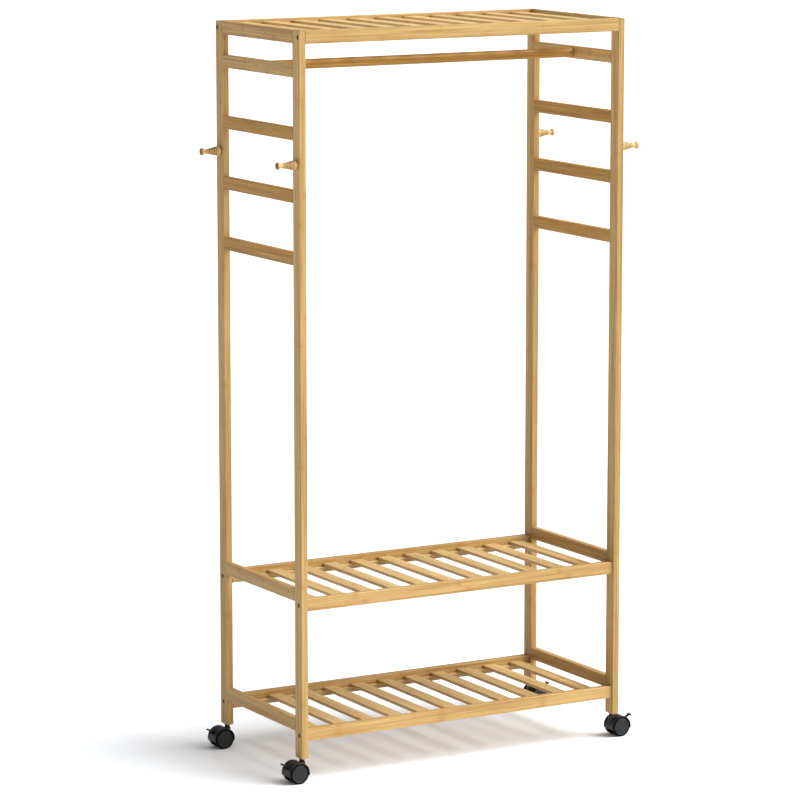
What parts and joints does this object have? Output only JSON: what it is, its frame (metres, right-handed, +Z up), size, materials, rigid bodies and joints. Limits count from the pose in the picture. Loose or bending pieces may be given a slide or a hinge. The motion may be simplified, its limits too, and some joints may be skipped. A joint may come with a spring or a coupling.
{
  "type": "rolling clothes rack",
  "caption": "Tall bamboo clothes rack on swivelling casters: a hanging rod under a slatted top shelf, ladder sides with pegs, and slatted lower shelves.",
  "frame": {"origin": "on the floor, under the middle of the rack", "axes": "+X to the right along the hanging rod, +Y from the front to the back, +Z up"},
  "size_m": [0.924, 0.395, 1.65],
  "materials": {
    "bamboo_frame": "satin lacquer",
    "bamboo_slats": "satin lacquer",
    "turned_wood": "satin lacquer",
    "caster_plastic": "moulded, fine grain",
    "wheel_plastic": "moulded, slight sheen",
    "zinc_steel": "zinc plated",
    "blackened_steel": "black oxide"
  },
  "bodies": {
    "rack": {"top_side_rail_left": "bamboo_frame", "rod_rail_left": "bamboo_frame", "rung_upper_left": "bamboo_frame", "rung_middle_left": "bamboo_frame", "rung_lower_left": "bamboo_frame", "middle_side_rail_left": "bamboo_frame", "bottom_side_rail_left": "bamboo_frame", "rod_screw_left": "zinc_steel", "post_front_left": "bamboo_frame", "peg_front_left": "turned_wood", "caster_stem_front_left": "blackened_steel", "post_rear_left": "bamboo_frame", "peg_rear_left": "turned_wood", "caster_stem_rear_left": "blackened_steel", "top_side_rail_right": "bamboo_frame", "rod_rail_right": "bamboo_frame", "rung_upper_right": "bamboo_frame", "rung_middle_right": "bamboo_frame", "rung_lower_right": "bamboo_frame", "middle_side_rail_right": "bamboo_frame", "bottom_side_rail_right": "bamboo_frame", "rod_screw_right": "zinc_steel", "post_front_right": "bamboo_frame", "peg_front_right": "turned_wood", "caster_stem_front_right": "blackened_steel", "post_rear_right": "bamboo_frame", "peg_rear_right": "turned_wood", "caster_stem_rear_right": "blackened_steel", "top_shelf_front_rail": "bamboo_frame", "top_shelf_rear_rail": "bamboo_frame", "top_slat_deck": "bamboo_slats", "middle_shelf_front_rail": "bamboo_frame", "middle_shelf_rear_rail": "bamboo_frame", "middle_slat_deck": "bamboo_slats", "bottom_shelf_front_rail": "bamboo_frame", "bottom_shelf_rear_rail": "bamboo_frame", "bottom_slat_deck": "bamboo_slats", "hanging_rod": "bamboo_frame"},
    "caster_front_left": {"caster_housing_front_left": "caster_plastic", "caster_axle_front_left": "zinc_steel"},
    "front_wheel_front_left": {"caster_front_wheel_front_left": "wheel_plastic"},
    "rear_wheel_front_left": {"caster_rear_wheel_front_left": "wheel_plastic"},
    "brake_front_left": {"caster_brake_front_left": "caster_plastic"},
    "caster_rear_left": {"caster_housing_rear_left": "caster_plastic", "caster_axle_rear_left": "zinc_steel"},
    "front_wheel_rear_left": {"caster_front_wheel_rear_left": "wheel_plastic"},
    "rear_wheel_rear_left": {"caster_rear_wheel_rear_left": "wheel_plastic"},
    "brake_rear_left": {"caster_brake_rear_left": "caster_plastic"},
    "caster_front_right": {"caster_housing_front_right": "caster_plastic", "caster_axle_front_right": "zinc_steel"},
    "front_wheel_front_right": {"caster_front_wheel_front_right": "wheel_plastic"},
    "rear_wheel_front_right": {"caster_rear_wheel_front_right": "wheel_plastic"},
    "brake_front_right": {"caster_brake_front_right": "caster_plastic"},
    "caster_rear_right": {"caster_housing_rear_right": "caster_plastic", "caster_axle_rear_right": "zinc_steel"},
    "front_wheel_rear_right": {"caster_front_wheel_rear_right": "wheel_plastic"},
    "rear_wheel_rear_right": {"caster_rear_wheel_rear_right": "wheel_plastic"},
    "brake_rear_right": {"caster_brake_rear_right": "caster_plastic"}
  },
  "joints": [
    {"name": "front_left_swivel", "type": "hinge", "parent": "rack", "child": "caster_front_left", "pos_m": [-0.406, -0.1775, 0.0545], "axis": [0, 0, 1], "continuous": true},
    {"name": "front_left_front_wheel_roll", "type": "hinge", "parent": "caster_front_left", "child": "front_wheel_front_left", "pos_m": [-0.4215, -0.1775, 0.023], "axis": [0, 1, 0], "continuous": true},
    {"name": "front_left_rear_wheel_roll", "type": "hinge", "parent": "caster_front_left", "child": "rear_wheel_front_left", "pos_m": [-0.4215, -0.1775, 0.023], "axis": [0, 1, 0], "continuous": true},
    {"name": "front_left_brake", "type": "hinge", "parent": "caster_front_left", "child": "brake_front_left", "pos_m": [-0.4335, -0.1775, 0.035], "axis": [0, -1, 0], "range_deg": [0, 20]},
    {"name": "rear_left_swivel", "type": "hinge", "parent": "rack", "child": "caster_rear_left", "pos_m": [-0.406, 0.1775, 0.0545], "axis": [0, 0, 1], "continuous": true},
    {"name": "rear_left_front_wheel_roll", "type": "hinge", "parent": "caster_rear_left", "child": "front_wheel_rear_left", "pos_m": [-0.4215, 0.1775, 0.023], "axis": [0, 1, 0], "continuous": true},
    {"name": "rear_left_rear_wheel_roll", "type": "hinge", "parent": "caster_rear_left", "child": "rear_wheel_rear_left", "pos_m": [-0.4215, 0.1775, 0.023], "axis": [0, 1, 0], "continuous": true},
    {"name": "rear_left_brake", "type": "hinge", "parent": "caster_rear_left", "child": "brake_rear_left", "pos_m": [-0.4335, 0.1775, 0.035], "axis": [0, -1, 0], "range_deg": [0, 20]},
    {"name": "front_right_swivel", "type": "hinge", "parent": "rack", "child": "caster_front_right", "pos_m": [0.406, -0.1775, 0.0545], "axis": [0, 0, 1], "continuous": true},
    {"name": "front_right_front_wheel_roll", "type": "hinge", "parent": "caster_front_right", "child": "front_wheel_front_right", "pos_m": [0.4215, -0.1775, 0.023], "axis": [0, 1, 0], "continuous": true},
    {"name": "front_right_rear_wheel_roll", "type": "hinge", "parent": "caster_front_right", "child": "rear_wheel_front_right", "pos_m": [0.4215, -0.1775, 0.023], "axis": [0, 1, 0], "continuous": true},
    {"name": "front_right_brake", "type": "hinge", "parent": "caster_front_right", "child": "brake_front_right", "pos_m": [0.4335, -0.1775, 0.035], "axis": [0, 1, 0], "range_deg": [0, 20]},
    {"name": "rear_right_swivel", "type": "hinge", "parent": "rack", "child": "caster_rear_right", "pos_m": [0.406, 0.1775, 0.0545], "axis": [0, 0, 1], "continuous": true},
    {"name": "rear_right_front_wheel_roll", "type": "hinge", "parent": "caster_rear_right", "child": "front_wheel_rear_right", "pos_m": [0.4215, 0.1775, 0.023], "axis": [0, 1, 0], "continuous": true},
    {"name": "rear_right_rear_wheel_roll", "type": "hinge", "parent": "caster_rear_right", "child": "rear_wheel_rear_right", "pos_m": [0.4215, 0.1775, 0.023], "axis": [0, 1, 0], "continuous": true},
    {"name": "rear_right_brake", "type": "hinge", "parent": "caster_rear_right", "child": "brake_rear_right", "pos_m": [0.4335, 0.1775, 0.035], "axis": [0, 1, 0], "range_deg": [0, 20]}
  ]
}
